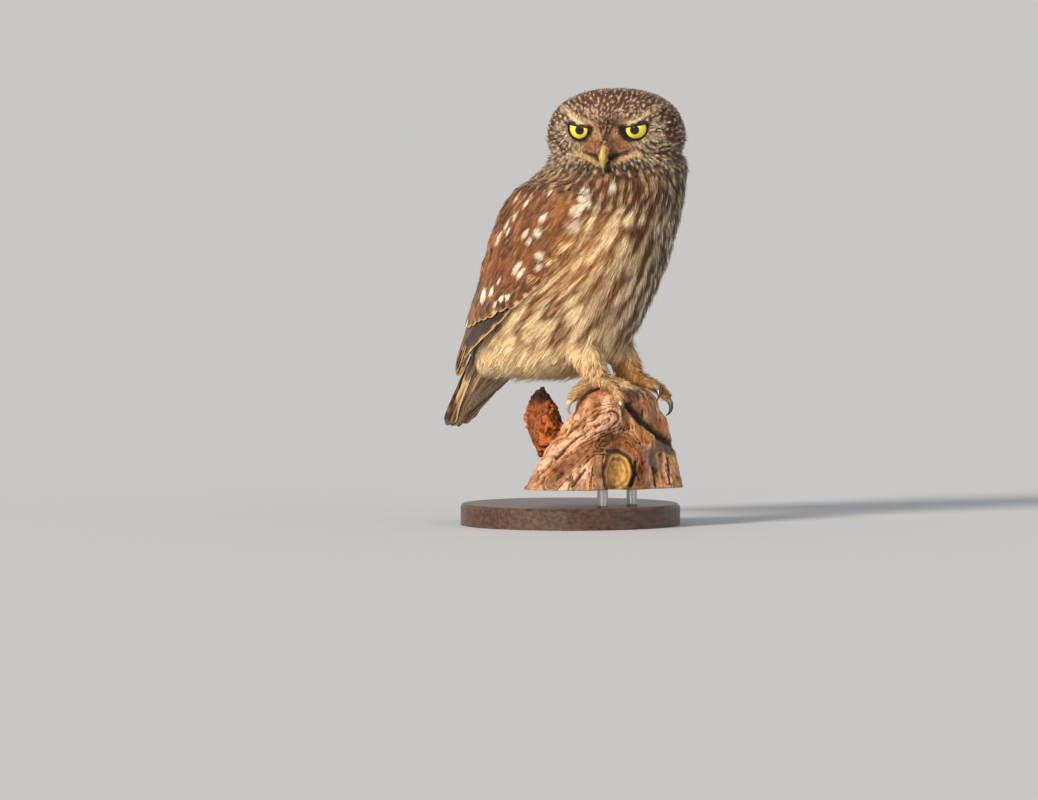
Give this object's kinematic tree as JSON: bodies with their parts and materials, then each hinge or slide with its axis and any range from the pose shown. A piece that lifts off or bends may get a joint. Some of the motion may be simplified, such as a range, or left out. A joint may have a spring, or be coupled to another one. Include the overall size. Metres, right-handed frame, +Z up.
{
  "type": "little owl on a perch",
  "caption": "Life-size still model of a little owl upright on a short length of dead wood, head turned to its right, with folded wings and a flat display stand.",
  "frame": {"origin": "the middle of the bounding box's foot, on the underside of the stand's base", "axes": "+Z up along the bird's height, -Y the way its body faces, +X its left side"},
  "size_m": [0.124, 0.1632, 0.2458],
  "materials": {
    "head_plumage": "soft matt feathers, brown with fine pale streaks",
    "body_plumage": "soft matt feathers, cream with long brown streaks below, brown above",
    "flight_feathers": "smooth close vanes, warm brown with pale spots and bars",
    "leg_plumage": "short bristly feathers, buff",
    "eye": "wet gloss, yellow iris round a black pupil",
    "bill": "satin horn, yellowish green",
    "claw": "satin dark horn",
    "dead_wood": "weathered, fissured, bare",
    "stand_wood": "dark satin varnish",
    "stand_steel": "brushed"
  },
  "bodies": {
    "root": {"head": "head_plumage", "neck": "body_plumage", "torso": "body_plumage", "tail": "flight_feathers", "wing_right": "flight_feathers", "wing_left": "flight_feathers", "eye_right": "eye", "eye_left": "eye", "bill_upper": "bill", "bill_lower": "bill", "leg_right": "leg_plumage", "leg_left": "leg_plumage", "foot_right": "leg_plumage", "foot_left": "leg_plumage", "claw_right_hind": "claw", "claw_right_inner": "claw", "claw_right_middle": "claw", "claw_right_outer": "claw", "claw_left_hind": "claw", "claw_left_inner": "claw", "claw_left_middle": "claw", "claw_left_outer": "claw", "perch": "dead_wood", "stand_base": "stand_wood", "stand_rod_right": "stand_steel", "stand_rod_left": "stand_steel"}
  },
  "joints": []
}
